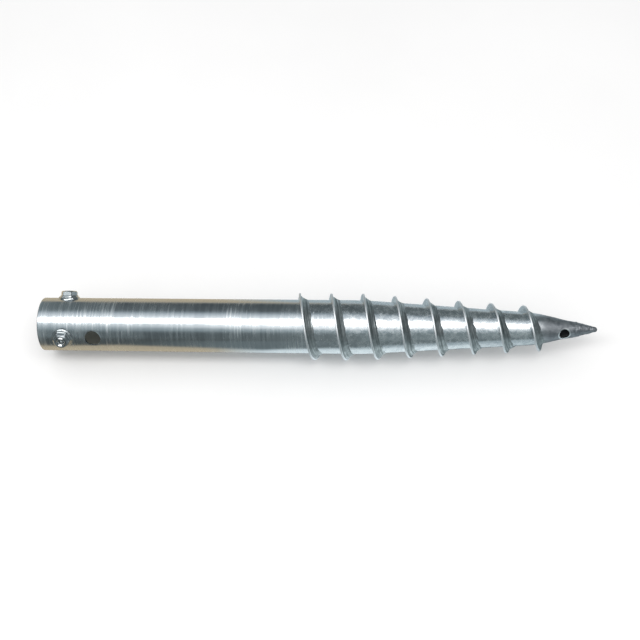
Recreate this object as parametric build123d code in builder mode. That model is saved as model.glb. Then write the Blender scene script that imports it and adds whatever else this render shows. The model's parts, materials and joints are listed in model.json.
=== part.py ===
"""Galvanised ground screw: a screw-in anchor that holds a round fence post.

A steel pipe is swaged to a cone and closed with weld at the tip. A right-handed steel strip is
wound round its lower part and welded along its tip side. Three nuts, welded round the mouth,
carry the set screws that clamp the post. A bar through the cross hole turns the anchor in.

The anchor lies down. The origin is the centre of the socket's mouth, +X runs along the axis
towards the tip and +Z is up. Angles round the axis start at +Z and turn right-handed about +X.
"""

import os
from math import atan, cos, degrees, radians, sin, tan

from build123d import *

# Pipe: a plain socket, then a long cone, then a short blunt cone (lengths in millimetres).
PIPE_RADIUS = 34.0
PIPE_WALL = 3.0
SOCKET_LENGTH = 412.0
CONE_END = 632.0
CONE_END_RADIUS = 19.8
PIPE_END = 680.0
PIPE_END_RADIUS = 7.9
PIPE_END_BORE = 3.5
MOUTH_CHAMFER = 0.6

# Weld nose that closes the swaged end.
TOTAL_LENGTH = 702.0
NOSE_START = 671.0
NOSE_START_RADIUS = 9.6
NOSE_SHOULDER_X = 677.0
NOSE_SHOULDER_RADIUS = 8.9
NOSE_TIP_RADIUS = 3.2

# Holes through the pipe wall.
TURNING_HOLE_X = 71.0
TURNING_HOLE_RADIUS = 10.0
DRAIN_HOLE_X = 661.0
DRAIN_HOLE_RADIUS = 6.0
HOLE_ANGLE = 60.0

# Helical flight: a steel strip on edge, with a fillet weld along its tip side.
FLIGHT_PITCH = 40.0
FLIGHT_START = 322.0
FLIGHT_START_ANGLE = -149.1
FLIGHT_BEND = 402.0
FLIGHT_END = 638.0
FLIGHT_WELD_END = 630.0
FLIGHT_HEIGHT = 8.4
FLIGHT_THICKNESS = 2.6
FLIGHT_EDGE_RADIUS = 0.8
FADE_HEIGHT = 3.5
FADE_REACH = 15.0
WELD_LEG_ON_PIPE = 8.6
WELD_LEG_ON_FLIGHT = 5.6
WELD_TOE_HEIGHT = 0.4
WELD_HOLLOW = 1.1
ROOT_DEPTH = 3.0
OUTSIDE_RADIUS = 60.0

# Clamping screws: M12 set screws in welded M12 nuts, evenly spaced round the mouth.
# Each screw's inner end is given as its distance from the anchor's axis.
SCREW_X = 32.0
SCREW_ANGLES = (-60.0, 60.0, 180.0)
SCREW_INNER_ENDS = (31.2, 33.0, 31.2)
SCREW_RADIUS = 5.95
SCREW_LENGTH = 12.0
SCREW_END_CHAMFER = 0.9
HEX_SOCKET_ACROSS_FLATS = 6.0
HEX_SOCKET_DEPTH = 6.5
HEX_MOUTH_RADIUS = 4.7
CUP_RADIUS = 4.0
CUP_DEPTH = 1.6
NUT_BORE_RADIUS = 6.0
NUT_BORE_CHAMFER = 0.7
NUT_ACROSS_FLATS = 19.0
NUT_HEIGHT = 9.0
NUT_CHAMFER_RADIUS = 9.3
NUT_CHAMFER_TAPER = 60.0
NUT_TURN = -3.0
WALL_CLEARANCE_RADIUS = 6.5

# Weld bead round each nut, from inside the pipe's surface up the nut's flanks.
NUT_WELD_ROOT = 31.0
NUT_WELD_TOP = 38.6
NUT_WELD_FOOT_RADIUS = 16.2
NUT_WELD_TOP_RADIUS = 9.8
NUT_WELD_BORE_RADIUS = 8.6

SOCKET_RADIUS = PIPE_RADIUS - PIPE_WALL
CONE_SLOPE = (PIPE_RADIUS - CONE_END_RADIUS) / (CONE_END - SOCKET_LENGTH)
FLIGHT_SLOPE = (PIPE_RADIUS - CONE_END_RADIUS) / (CONE_END - FLIGHT_BEND)
TURNS_BEFORE_BEND = (FLIGHT_BEND - FLIGHT_START) / FLIGHT_PITCH
FLIGHT_BEND_ANGLE = FLIGHT_START_ANGLE + 360.0 * TURNS_BEFORE_BEND


def outward_plane(x, angle, radius=0.0):
    """Plane square to the direction at the given angle, at the given distance from the axis."""
    outward = Vector(0, -sin(radians(angle)), cos(radians(angle)))
    return Plane(origin=Vector(x, 0, 0) + outward * radius, x_dir=(1, 0, 0), z_dir=outward)


def pipe_profile():
    """Half section of the solid pipe, bore left out."""
    with BuildSketch(Plane.XZ) as profile:
        Polygon(
            (0, 0),
            (0, PIPE_RADIUS),
            (SOCKET_LENGTH, PIPE_RADIUS),
            (CONE_END, CONE_END_RADIUS),
            (PIPE_END, PIPE_END_RADIUS),
            (PIPE_END, 0),
            align=None,
        )
    return profile.sketch


def core_profile():
    """Half section of the solid pipe under the flight, with its long cone drawn on past the end."""
    overrun = FLIGHT_PITCH
    with BuildSketch(Plane.XZ) as profile:
        Polygon(
            (FLIGHT_START - overrun, 0),
            (FLIGHT_START - overrun, PIPE_RADIUS),
            (SOCKET_LENGTH, PIPE_RADIUS),
            (CONE_END + overrun, CONE_END_RADIUS - overrun * CONE_SLOPE),
            (CONE_END + overrun, 0),
            align=None,
        )
    return profile.sketch


def bore_profile():
    """Half section of the space inside the pipe, which narrows with the wall round it."""
    with BuildSketch(Plane.XZ) as profile:
        Polygon(
            (0, 0),
            (0, SOCKET_RADIUS),
            (SOCKET_LENGTH, SOCKET_RADIUS),
            (CONE_END, CONE_END_RADIUS - PIPE_WALL),
            (PIPE_END, PIPE_END_BORE),
            (PIPE_END, 0),
            align=None,
        )
    return profile.sketch


with BuildPart() as tube_body:
    add(pipe_profile())
    revolve(axis=Axis.X)
    add(bore_profile())
    revolve(axis=Axis.X, mode=Mode.SUBTRACT)
    mouth_edges = tube_body.faces().sort_by(Axis.X)[0].edges()
    chamfer(mouth_edges, MOUTH_CHAMFER)
    with Locations(outward_plane(TURNING_HOLE_X, HOLE_ANGLE)):
        Cylinder(TURNING_HOLE_RADIUS, 3 * PIPE_RADIUS, mode=Mode.SUBTRACT)
    with Locations(outward_plane(DRAIN_HOLE_X, HOLE_ANGLE)):
        Cylinder(
            DRAIN_HOLE_RADIUS,
            PIPE_RADIUS,
            align=(Align.CENTER, Align.CENTER, Align.MIN),
            mode=Mode.SUBTRACT,
        )
    for screw_angle in SCREW_ANGLES:
        with Locations(outward_plane(SCREW_X, screw_angle)):
            Cylinder(
                WALL_CLEARANCE_RADIUS,
                2 * PIPE_RADIUS,
                align=(Align.CENTER, Align.CENTER, Align.MIN),
                mode=Mode.SUBTRACT,
            )
tube_body.part.label = "tube_body"
export_step(tube_body.part, "parts/tube_body.step")


with BuildPart() as tip_weld:
    with BuildSketch(Plane.XZ):
        with BuildLine():
            nose_side = Line(
                (NOSE_SHOULDER_X, NOSE_SHOULDER_RADIUS),
                (TOTAL_LENGTH - NOSE_TIP_RADIUS, NOSE_TIP_RADIUS),
            )
            RadiusArc(nose_side @ 1, (TOTAL_LENGTH, 0), NOSE_TIP_RADIUS)
            Polyline((TOTAL_LENGTH, 0), (NOSE_START, 0), (NOSE_START, NOSE_START_RADIUS), nose_side @ 0)
        make_face()
    revolve(axis=Axis.X)
    add(pipe_profile())
    revolve(axis=Axis.X, mode=Mode.SUBTRACT)
tip_weld.part.label = "tip_weld"
export_step(tip_weld.part, "parts/tip_weld.step")


def flight_section(x):
    """Section of the flight strip, standing on edge with its foot below the pipe's surface."""
    half = FLIGHT_THICKNESS / 2
    with BuildSketch(Plane.XZ) as section:
        with BuildLine():
            Polyline(
                (x - half, PIPE_RADIUS - ROOT_DEPTH),
                (x + half, PIPE_RADIUS - ROOT_DEPTH),
                (x + half, PIPE_RADIUS + FLIGHT_HEIGHT),
                (x - half, PIPE_RADIUS + FLIGHT_HEIGHT),
                close=True,
            )
        make_face()
        fillet(section.vertices().group_by(Axis.Z)[-1], FLIGHT_EDGE_RADIUS)
    return section.sketch


def weld_section(x):
    """Section of the hollow fillet weld that runs along the flight's tip side."""
    face_x = x + FLIGHT_THICKNESS / 2
    root = (face_x, PIPE_RADIUS - ROOT_DEPTH)
    foot = (face_x + WELD_LEG_ON_PIPE, PIPE_RADIUS - ROOT_DEPTH)
    toe = (face_x + WELD_LEG_ON_PIPE, PIPE_RADIUS + WELD_TOE_HEIGHT)
    top = (face_x, PIPE_RADIUS + WELD_LEG_ON_FLIGHT)
    with BuildSketch(Plane.XZ) as section:
        with BuildLine():
            SagittaArc(toe, top, WELD_HOLLOW)
            Polyline(top, root, foot, toe)
        make_face()
    return section.sketch


def fade_profile():
    """Half section of the metal taken off the last turn's crest, so that the flight fades out."""
    end_radius = CONE_END_RADIUS + (CONE_END - FLIGHT_END) * CONE_SLOPE + FADE_HEIGHT
    with BuildSketch(Plane.XZ) as profile:
        Polygon(
            (FLIGHT_END - FADE_REACH, end_radius + FADE_REACH),
            (FLIGHT_END + FADE_REACH, end_radius - FADE_REACH),
            (FLIGHT_END + FADE_REACH, OUTSIDE_RADIUS),
            (FLIGHT_END - FADE_REACH, OUTSIDE_RADIUS),
            align=None,
        )
    return profile.sketch


def run_on_socket(section_at):
    """Wind a section round the straight socket."""
    with BuildLine() as path:
        Helix(
            FLIGHT_PITCH,
            FLIGHT_BEND - FLIGHT_START,
            PIPE_RADIUS,
            center=(FLIGHT_START, 0, 0),
            direction=(1, 0, 0),
        )
    with BuildPart() as run:
        sweep(section_at(FLIGHT_START), path.line, is_frenet=True)
        with Locations(Plane.YZ):
            Cylinder(PIPE_RADIUS, 2 * SOCKET_LENGTH, mode=Mode.SUBTRACT)
    return run.part


def run_on_cone(section_at, end_x):
    """Wind a section on from where the flight starts to draw in, down to the given place."""
    with BuildLine() as path:
        Helix(
            FLIGHT_PITCH,
            end_x - FLIGHT_BEND,
            PIPE_RADIUS,
            center=(FLIGHT_BEND, 0, 0),
            direction=(1, 0, 0),
            cone_angle=-degrees(atan(FLIGHT_SLOPE)),
        )
    with BuildPart() as run:
        sweep(section_at(FLIGHT_BEND), path.line, is_frenet=True)
        add(core_profile())
        revolve(axis=Axis.X, mode=Mode.SUBTRACT)
        add(fade_profile())
        revolve(axis=Axis.X, mode=Mode.SUBTRACT)
    return run.part


def wound(section_at, end_x):
    """Wind a section from the flight's start, along the socket and down the long cone."""
    with BuildPart() as winding:
        add(run_on_socket(section_at), rotation=(FLIGHT_START_ANGLE, 0, 0))
        add(run_on_cone(section_at, end_x), rotation=(FLIGHT_BEND_ANGLE, 0, 0))
    return winding.part


helical_flight = wound(flight_section, FLIGHT_END)
helical_flight.label = "helical_flight"
export_step(helical_flight, "parts/helical_flight.step")

flight_weld = wound(weld_section, FLIGHT_WELD_END)
flight_weld.label = "flight_weld"
export_step(flight_weld, "parts/flight_weld.step")


def make_nut(angle):
    """Plain hexagon nut standing on the pipe, chamfered at its outer corners and its bore."""
    cone_foot_radius = NUT_CHAMFER_RADIUS + NUT_HEIGHT * tan(radians(NUT_CHAMFER_TAPER))
    with BuildPart() as nut:
        with BuildSketch(outward_plane(SCREW_X, angle, PIPE_RADIUS)):
            RegularPolygon(NUT_ACROSS_FLATS / 2, 6, major_radius=False, rotation=NUT_TURN)
            Circle(NUT_BORE_RADIUS, mode=Mode.SUBTRACT)
        extrude(amount=NUT_HEIGHT)
        with BuildSketch(outward_plane(SCREW_X, angle, PIPE_RADIUS)):
            Circle(cone_foot_radius)
        extrude(amount=NUT_HEIGHT, taper=NUT_CHAMFER_TAPER, mode=Mode.INTERSECT)
        bore_rims = nut.edges().filter_by(GeomType.CIRCLE).sort_by(SortBy.RADIUS)[:2]
        chamfer(bore_rims, NUT_BORE_CHAMFER)
    return nut.part


def make_nut_weld(angle):
    """Bead round a nut's foot: a flared ring that follows the pipe and hugs the hexagon."""
    bead_height = NUT_WELD_TOP - NUT_WELD_ROOT
    with BuildPart() as bead:
        with Locations(outward_plane(SCREW_X, angle, NUT_WELD_ROOT)):
            Cone(
                NUT_WELD_FOOT_RADIUS,
                NUT_WELD_TOP_RADIUS,
                bead_height,
                align=(Align.CENTER, Align.CENTER, Align.MIN),
            )
            Cylinder(
                NUT_WELD_BORE_RADIUS,
                bead_height,
                align=(Align.CENTER, Align.CENTER, Align.MIN),
                mode=Mode.SUBTRACT,
            )
        with Locations(Plane.YZ):
            Cylinder(PIPE_RADIUS, 2 * SOCKET_LENGTH, mode=Mode.SUBTRACT)
        with BuildSketch(outward_plane(SCREW_X, angle, PIPE_RADIUS)):
            RegularPolygon(NUT_ACROSS_FLATS / 2, 6, major_radius=False, rotation=NUT_TURN)
        extrude(amount=NUT_HEIGHT, mode=Mode.SUBTRACT)
    return bead.part


def make_set_screw(angle, inner_end):
    """Headless screw with a hexagon socket at its outer end and a cup point at its inner end."""
    outer_end = inner_end + SCREW_LENGTH
    with BuildPart() as screw:
        with BuildSketch(outward_plane(SCREW_X, angle, inner_end)):
            Circle(SCREW_RADIUS)
        extrude(amount=SCREW_LENGTH)
        chamfer(screw.edges().filter_by(GeomType.CIRCLE), SCREW_END_CHAMFER)
        with BuildSketch(outward_plane(SCREW_X, angle, outer_end)):
            RegularPolygon(HEX_SOCKET_ACROSS_FLATS / 2, 6, major_radius=False, rotation=NUT_TURN)
        extrude(amount=-HEX_SOCKET_DEPTH, mode=Mode.SUBTRACT)
        with Locations(outward_plane(SCREW_X, angle, outer_end)):
            Cone(
                0,
                HEX_MOUTH_RADIUS,
                HEX_MOUTH_RADIUS,
                align=(Align.CENTER, Align.CENTER, Align.MAX),
                mode=Mode.SUBTRACT,
            )
        with Locations(outward_plane(SCREW_X, angle, inner_end)):
            Cone(
                CUP_RADIUS,
                0,
                CUP_DEPTH,
                align=(Align.CENTER, Align.CENTER, Align.MIN),
                mode=Mode.SUBTRACT,
            )
    return screw.part


for number, angle in enumerate(SCREW_ANGLES, start=1):
    station_parts = {
        f"nut_{number}": make_nut(angle),
        f"nut_weld_{number}": make_nut_weld(angle),
        f"set_screw_{number}": make_set_screw(angle, SCREW_INNER_ENDS[number - 1]),
    }
    for name, part in station_parts.items():
        part.label = name
        export_step(part, f"parts/{name}.step")
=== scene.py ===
"""A galvanised ground screw lying on a pale studio floor.

Every shape is built in metres in the CAD frame: +X runs from the socket's mouth to the tip and +Z
is up. Angles round the anchor's axis start at +Z and turn right-handed about +X.
"""

import json
import math

import bmesh
import bpy
import numpy as np
from mathutils import Matrix, Vector


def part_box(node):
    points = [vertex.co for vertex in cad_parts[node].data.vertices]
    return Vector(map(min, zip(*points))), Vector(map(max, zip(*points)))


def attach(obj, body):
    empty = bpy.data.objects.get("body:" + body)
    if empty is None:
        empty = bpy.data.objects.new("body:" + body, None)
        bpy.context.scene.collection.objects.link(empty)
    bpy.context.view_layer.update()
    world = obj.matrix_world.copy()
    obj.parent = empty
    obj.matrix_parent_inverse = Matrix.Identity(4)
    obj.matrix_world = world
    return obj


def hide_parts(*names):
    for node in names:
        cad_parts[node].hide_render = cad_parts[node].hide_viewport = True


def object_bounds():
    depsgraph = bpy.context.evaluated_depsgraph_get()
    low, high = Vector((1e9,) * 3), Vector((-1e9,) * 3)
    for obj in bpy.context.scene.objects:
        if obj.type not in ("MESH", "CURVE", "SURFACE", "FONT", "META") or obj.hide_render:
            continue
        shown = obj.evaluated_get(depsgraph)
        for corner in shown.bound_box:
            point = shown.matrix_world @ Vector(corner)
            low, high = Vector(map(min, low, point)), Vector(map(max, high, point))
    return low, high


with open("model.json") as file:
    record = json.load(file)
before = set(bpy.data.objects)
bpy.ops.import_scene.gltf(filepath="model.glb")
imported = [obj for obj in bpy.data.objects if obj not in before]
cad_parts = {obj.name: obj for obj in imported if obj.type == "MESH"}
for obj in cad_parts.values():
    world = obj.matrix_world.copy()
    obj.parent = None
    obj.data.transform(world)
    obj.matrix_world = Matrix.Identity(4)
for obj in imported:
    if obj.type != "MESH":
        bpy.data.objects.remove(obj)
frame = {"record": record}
cad_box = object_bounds()

MM = 0.001
BODY = "anchor"

# Pipe, read from the frame where it can be. OUTLINE_X lists the places where its outline turns.
PIPE_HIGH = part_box("tube_body")[1]
PIPE_RADIUS = PIPE_HIGH[1]
PIPE_END = PIPE_HIGH[0]
MOUNTS = {mount["name"]: mount for mount in frame["record"]["mounts"]}
SOCKET_RADIUS = MOUNTS["post_socket"]["dims"]["r_mm"] * MM
SOCKET_LENGTH = MOUNTS["post_socket"]["dims"]["length_mm"] * MM
CONE_END = 626 * MM
OUTLINE_X = [0, SOCKET_LENGTH, CONE_END, PIPE_END]
OUTLINE_RADIUS = [PIPE_RADIUS, PIPE_RADIUS, 20.1 * MM, 7.9 * MM]
BORE_RADIUS = [SOCKET_RADIUS, SOCKET_RADIUS, 17.1 * MM, 3.5 * MM]
KNEE_BLEND = 9 * MM
CONE_SLOPE = (PIPE_RADIUS - OUTLINE_RADIUS[2]) / (CONE_END - SOCKET_LENGTH)
COLUMNS = 180

# Holes through the wall: place along the axis, radius, rounded edge, and mesh margin round them.
TURNING_HOLE_X = MOUNTS["turning_bar_hole"]["pos_m"][0]
TURNING_HOLE_RADIUS = MOUNTS["turning_bar_hole"]["dims"]["r_mm"] * MM
FRONT_ANGLE = math.radians(60)
DRAIN_HOLE_X = 661 * MM
DRAIN_HOLE_RADIUS = 6 * MM
DRAIN_HOLE_EDGE = 1.5 * MM
DRAIN_HOLE_MARGIN = 2.8 * MM
SCREW_HOLE_RADIUS = 6.5 * MM
HOLE_EDGE = 0.6 * MM
HOLE_MARGIN = 4 * MM

# Clamping screws and nuts.
SCREW_X = 32 * MM
SCREW_ANGLES = {1: math.radians(-60), 2: math.radians(60), 3: math.radians(180)}
SCREW_INNER_ENDS = {1: 31.2 * MM, 2: 33.0 * MM, 3: 31.2 * MM}
SCREW_RADIUS = 5.95 * MM
SCREW_LENGTH = 12 * MM
THREAD_PITCH = 1.75 * MM
THREAD_DEPTH = 0.8 * MM
SCREW_EDGE = 0.3 * MM
SCREW_EDGE_SLOPE = math.tan(math.radians(60))
HEX_KEY_RADIUS = 3 * MM
HEX_KEY_DEPTH = 6.5 * MM
HEX_MOUTH_RADIUS = 4.9 * MM
HEX_MOUTH_SLOPE = 0.78
NUT_FLAT_RADIUS = 9.5 * MM
NUT_HEIGHT = 9 * MM
NUT_FACE_RADIUS = 8.6 * MM
NUT_CHAMFER = math.tan(math.radians(39))
NUT_EDGE = 0.2 * MM
NUT_BORE_RADIUS = 6.02 * MM
NUT_BORE_LEAD = 0.75 * MM
NUT_GROOVE_DEPTH = 0.6 * MM
NUT_TURN = math.radians(-3)
NUT_WELD_HEIGHT = 3.5 * MM
NUT_WELD_RADIUS = 13.6 * MM
NUT_WELD_RIPPLES = 24

# Helical flight and its weld.
FLIGHT_PITCH = 40 * MM
FLIGHT_START = 322 * MM
FLIGHT_START_ANGLE = math.radians(-149.1)
FLIGHT_END = 638 * MM
FLIGHT_WELD_END = 631 * MM
FLIGHT_HEIGHT = 8.4 * MM
FLIGHT_HALF_FOOT = 1.4 * MM
FLIGHT_HALF_CREST = 1.3 * MM
WELD_ON_FLIGHT = 5.6 * MM
WELD_ON_PIPE = 8.6 * MM
WELD_MEAN_RADIUS = 30 * MM
WELD_CRESCENT_LENGTH = 1.9 * MM
CRATER_ANGLE = math.radians(101)
CRATER_WIDTH = math.radians(5)
CRATER_DEPTH = 0.9 * MM

# Weld nose, spatter and floor.
TOTAL_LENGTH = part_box("tip_weld")[1][0]
NOSE_START = PIPE_END - 6 * MM
NOSE_SHOULDER = PIPE_END - 2.5 * MM
NOSE_SHOULDER_RADIUS = 8.7 * MM
NOSE_RADIUS = 3.2 * MM
FLIGHT_DROPS = 46
NUT_DROPS = 6
FLOOR_Z = cad_box[0][2]


# ---------------------------------------------------------------- geometry helpers


def waves(points, size, seed, count=20):
    """Smooth noise, mostly between -1 and 1: a sum of plane waves of about the given length."""
    random = np.random.default_rng(seed)
    total = np.zeros(points.shape[:-1])
    for _ in range(count):
        direction = random.normal(size=3)
        direction *= 2 * math.pi * random.uniform(0.6, 1.5) / size / np.linalg.norm(direction)
        total += np.sin(points @ direction + random.uniform(0, 2 * math.pi))
    return total / math.sqrt(count)


def smooth_step(value, low, high):
    """0 below low, 1 above high, with an eased ramp between."""
    share = np.clip((value - low) / (high - low), 0, 1)
    return share * share * (3 - 2 * share)


def around(x, angle, radius):
    """Points at places x along the axis, at the given angles and distances from it."""
    x, angle, radius = np.broadcast_arrays(x, angle, radius)
    return np.stack([x, -radius * np.sin(angle), radius * np.cos(angle)], axis=-1)


def grid_faces(index, close_rows=False, close_columns=False):
    """Quads over a grid of vertex numbers, closed round either way where asked."""
    if close_rows:
        index = np.vstack([index, index[:1]])
    if close_columns:
        index = np.hstack([index, index[:, :1]])
    corners = [index[:-1, :-1], index[1:, :-1], index[1:, 1:], index[:-1, 1:]]
    return np.stack(corners, axis=-1).reshape(-1, 4).tolist()


def new_piece(name, vertices, faces, material, replaces=(), slot="", body=BODY, sharp=35):
    """Make a closed mesh object with outward normals and let it ride on its CAD body."""
    mesh = bpy.data.meshes.new(name)
    mesh.from_pydata(np.asarray(vertices).reshape(-1, 3).tolist(), [], faces)
    work = bmesh.new()
    work.from_mesh(mesh)
    bmesh.ops.recalc_face_normals(work, faces=work.faces)
    work.to_mesh(mesh)
    work.free()
    mesh.shade_smooth()
    mesh.set_sharp_from_angle(angle=math.radians(sharp))
    mesh.materials.append(material)
    piece = bpy.data.objects.new(name, mesh)
    bpy.context.scene.collection.objects.link(piece)
    if replaces:
        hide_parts(*replaces)
    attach(piece, body)
    return piece


def capped(grid):
    """Vertices and faces of a closed tube: a grid of rings with a fan over each end ring."""
    rings, columns = grid.shape[:2]
    index = np.arange(rings * columns).reshape(rings, columns)
    faces = grid_faces(index, close_columns=True)
    vertices = np.vstack([grid.reshape(-1, 3), grid[0].mean(axis=0), grid[-1].mean(axis=0)])
    for ring, centre in ((index[0], len(vertices) - 2), (index[-1], len(vertices) - 1)):
        faces += [[centre, int(a), int(b)] for a, b in zip(ring, np.roll(ring, -1))]
    return vertices, faces


# ---------------------------------------------------------------- pipe


def outline(x, radii):
    """Radius along the axis, with the turns of the outline rounded."""
    offsets = np.linspace(-KNEE_BLEND, KNEE_BLEND, 9)
    room = np.clip((PIPE_END - np.asarray(x, dtype=float)) / KNEE_BLEND, 0, 1)
    total = 0
    for offset in offsets:
        total = total + np.interp(x + offset * room, OUTLINE_X, radii)
    return total / len(offsets)


def dents(x, angle):
    """How far the surface stands off its true outline: least on the socket, most at the point."""
    flat = around(np.asarray(x), angle, PIPE_RADIUS)
    swaged = smooth_step(x, 0.395, 0.44)
    hammered = smooth_step(x, 0.640, 0.664)
    height = 0.035 * waves(flat, 0.11, 1) + 0.10 * swaged * waves(flat, 0.045, 2)
    height = height + hammered * (0.32 * waves(flat, 0.030, 3) + 0.10 * waves(flat, 0.012, 4))
    return height * MM


def outer_radius(x, angle):
    return outline(x, OUTLINE_RADIUS) + dents(x, angle)


def inner_radius(x, angle):
    return outline(x, BORE_RADIUS) + 0 * angle


def patch_loop(rows, columns):
    """Grid cells round the border of a patch, in order, as row numbers and column numbers."""
    first_row, last_row = rows
    first, last = columns
    loop = [(first_row, column) for column in range(first, last)]
    loop += [(row, last) for row in range(first_row, last_row)]
    loop += [(last_row, column) for column in range(last, first, -1)]
    loop += [(row, first) for row in range(last_row, first_row, -1)]
    return np.array(loop).T


def hole_rings(surface_radius, inward, hole, loop_x, loop_angle):
    """Rings of points from a patch's border to the hole's wall, over its rounded edge."""
    local_radius = outline(hole["x"], OUTLINE_RADIUS)
    turn = np.arctan2((loop_angle - hole["angle"]) * local_radius, loop_x - hole["x"])
    rings = []
    for spread, depth in ((1.0, 0.0), (0.3, 0.15), (0.0, 0.7)):
        rim = hole["radius"] + spread * hole["edge"]
        x = hole["x"] + rim * np.cos(turn)
        radius = surface_radius(x, hole["angle"]) + inward * depth * hole["edge"]
        angle = hole["angle"] + np.arcsin(rim * np.sin(turn) / radius)
        rings.append(around(x, angle, radius))
        if spread == 1.0:
            edge_x, edge_angle = x, angle
    for share in (0.3, 0.65):
        x = edge_x + share * (loop_x - edge_x)
        angle = edge_angle + share * (loop_angle - edge_angle)
        rings.insert(0, around(x, angle, surface_radius(x, angle)))
    return rings


def pipe_holes():
    """Every hole through the wall: two for the turning bar, three behind the nuts, one drain."""
    behind = FRONT_ANGLE + math.pi
    places = [
        (TURNING_HOLE_X, FRONT_ANGLE, TURNING_HOLE_RADIUS, HOLE_MARGIN, HOLE_EDGE),
        (TURNING_HOLE_X, behind, TURNING_HOLE_RADIUS, HOLE_MARGIN, HOLE_EDGE),
        (DRAIN_HOLE_X, FRONT_ANGLE, DRAIN_HOLE_RADIUS, DRAIN_HOLE_MARGIN, DRAIN_HOLE_EDGE),
    ]
    for angle in SCREW_ANGLES.values():
        places.append((SCREW_X, angle, SCREW_HOLE_RADIUS, HOLE_MARGIN, HOLE_EDGE))
    return [dict(zip(("x", "angle", "radius", "margin", "edge"), place)) for place in places]


def pipe_stations():
    """Places of the pipe's rings along the axis, closer together where there are holes or dents."""
    return np.concatenate(
        [
            np.linspace(0.6 * MM, 0.100, 50, endpoint=False),
            np.linspace(0.100, SOCKET_LENGTH, 80, endpoint=False),
            np.linspace(SOCKET_LENGTH, CONE_END, 84, endpoint=False),
            np.linspace(CONE_END, PIPE_END, 36),
        ]
    )


def hole_patch(hole, stations, step):
    """Rows and columns of the mesh patch that a hole takes the place of."""
    reach = hole["radius"] + hole["margin"]
    row_low, row_high = np.searchsorted(stations, [hole["x"] - reach, hole["x"] + reach])
    narrow = outline(hole["x"] + hole["radius"], BORE_RADIUS)
    spread = math.asin(min(0.9, hole["radius"] / narrow)) + hole["margin"] / narrow
    column_low = math.floor((hole["angle"] - spread) / step)
    column_high = math.ceil((hole["angle"] + spread) / step)
    return (row_low - 1, row_high), (column_low, column_high)


def pipe_mesh():
    """Pipe with its bore and its holes, as one closed mesh of vertices and faces."""
    stations = pipe_stations()
    step = 2 * math.pi / COLUMNS
    angles = step * np.arange(COLUMNS)
    x_grid, angle_grid = np.meshgrid(stations, angles, indexing="ij")
    mouth_profile = [
        (0.2 * MM, PIPE_RADIUS - 0.1 * MM),
        (0.0, PIPE_RADIUS - 0.45 * MM),
        (0.0, SOCKET_RADIUS + 0.45 * MM),
        (0.2 * MM, SOCKET_RADIUS + 0.1 * MM),
    ]
    mouth = [around(x, angles, radius) for x, radius in mouth_profile]
    vertices = [
        around(x_grid, angle_grid, outer_radius(x_grid, angle_grid)).reshape(-1, 3),
        around(x_grid, angle_grid, inner_radius(x_grid, angle_grid)).reshape(-1, 3),
        *mouth,
    ]
    outer = np.arange(x_grid.size).reshape(x_grid.shape)
    inner = outer + x_grid.size
    mouth_index = 2 * x_grid.size + np.arange(len(mouth) * COLUMNS).reshape(-1, COLUMNS)
    faces = grid_faces(np.vstack([outer[:1], mouth_index, inner[:1]]), close_columns=True)
    faces += grid_faces(np.vstack([outer[-1:], inner[-1:]]), close_columns=True)

    kept = np.ones((len(stations) - 1, COLUMNS), dtype=bool)
    next_vertex = 2 * x_grid.size + mouth_index.size
    for hole in pipe_holes():
        patch_rows, patch_columns = hole_patch(hole, stations, step)
        for column in range(*patch_columns):
            kept[slice(*patch_rows), column % COLUMNS] = False
        rows, columns = patch_loop(patch_rows, patch_columns)
        loop_x, loop_angle = stations[rows], columns * step
        rings = hole_rings(outer_radius, -1, hole, loop_x, loop_angle)
        rings += hole_rings(inner_radius, 1, hole, loop_x, loop_angle)[::-1]
        vertices += rings
        ring_index = next_vertex + np.arange(len(rings) * len(rows)).reshape(-1, len(rows))
        next_vertex += ring_index.size
        wrapped = columns % COLUMNS
        wall = np.vstack([outer[rows, wrapped], ring_index, inner[rows, wrapped]])
        faces += grid_faces(wall, close_columns=True)

    for index in (outer, inner):
        quads = np.array(grid_faces(index, close_columns=True))
        faces += quads.reshape(len(stations) - 1, COLUMNS, 4)[kept].tolist()
    return np.vstack(vertices), faces


# ---------------------------------------------------------------- helical flight and its weld


def flight_angle(x):
    return FLIGHT_START_ANGLE + 2 * math.pi * (x - FLIGHT_START) / FLIGHT_PITCH


def straight_cone(x):
    """Radius of the socket and of the long cone, drawn on straight past its end."""
    return PIPE_RADIUS - CONE_SLOPE * np.maximum(x - SOCKET_LENGTH, 0)


def pipe_surface(x):
    return outline(x, OUTLINE_RADIUS)


def wound_grid(stations, sections, core):
    """Points of sections wound round a core: each has places along it and heights above it."""
    x = stations[:, None] + sections[..., 0]
    return around(x, flight_angle(stations)[:, None], core(x) + sections[..., 1])


def strip_section():
    """Corners of the strip's section: place along the axis and share of the strip's height."""
    foot, crest = FLIGHT_HALF_FOOT, FLIGHT_HALF_CREST
    crest_start = 0.87
    corners = [
        (-foot, -0.35),
        (foot, -0.35),
        (foot, 0.1),
        (0.5 * (foot + crest), 0.5),
        (crest, crest_start),
    ]
    for turn in np.radians([18, 36, 54, 72]):
        along = crest * (0.30 + 0.70 * math.cos(turn))
        corners.append((along, crest_start + (1 - crest_start) * math.sin(turn)))
    mirrored = [(-along, share) for along, share in reversed(corners[2:])]
    return np.array(corners + mirrored)


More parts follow.
